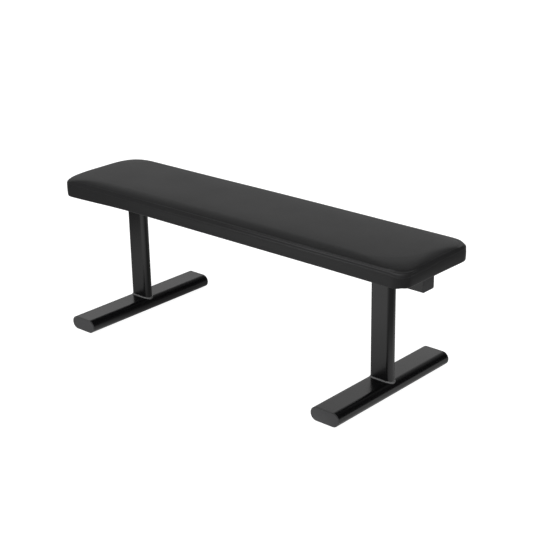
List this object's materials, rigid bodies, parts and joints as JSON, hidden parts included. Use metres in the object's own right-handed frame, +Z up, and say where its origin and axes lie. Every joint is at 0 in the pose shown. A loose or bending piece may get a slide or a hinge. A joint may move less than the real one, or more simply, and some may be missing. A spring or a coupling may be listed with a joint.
{
  "type": "flat weight bench",
  "caption": "Fixed flat weight bench: a long black cushion bolted to a square spine tube, on two flat posts and flat-oval floor tubes with rubber pads.",
  "frame": {"origin": "on the floor, under the middle of the bench", "axes": "+X along the cushion to the right-hand end, +Y across the bench to the far side, +Z up"},
  "size_m": [1.2964, 0.5, 0.443],
  "materials": {
    "vinyl": "satin",
    "vinyl_seam": "satin",
    "foam": "matte",
    "plywood": "matte",
    "dust_cloth": "matte",
    "galvanised_steel": "satin",
    "zinc_steel": "satin",
    "black_steel": "satin",
    "powder_coat": "satin",
    "cap_plastic": "satin",
    "rubber": "matte"
  },
  "bodies": {
    "root": {"pad_cover": "vinyl", "cover_seam": "vinyl_seam", "pad_foam": "foam", "pad_board": "plywood", "dust_cover": "dust_cloth", "staples": "galvanised_steel", "t_nuts": "zinc_steel", "pad_bolts": "black_steel", "bolt_washers": "black_steel", "pad_plate_left": "powder_coat", "pad_plate_middle": "powder_coat", "pad_plate_right": "powder_coat", "plate_welds": "powder_coat", "spine_tube": "powder_coat", "spine_cap_left": "cap_plastic", "spine_cap_right": "cap_plastic", "post_left": "powder_coat", "post_right": "powder_coat", "post_top_welds": "powder_coat", "post_base_welds": "powder_coat", "foot_tube_left": "powder_coat", "foot_tube_right": "powder_coat", "foot_cap_left_front": "cap_plastic", "foot_pad_left_front": "rubber", "foot_cap_left_back": "cap_plastic", "foot_pad_left_back": "rubber", "foot_cap_right_front": "cap_plastic", "foot_pad_right_front": "rubber", "foot_cap_right_back": "cap_plastic", "foot_pad_right_back": "rubber", "foot_pad_screws": "zinc_steel"}
  },
  "joints": []
}
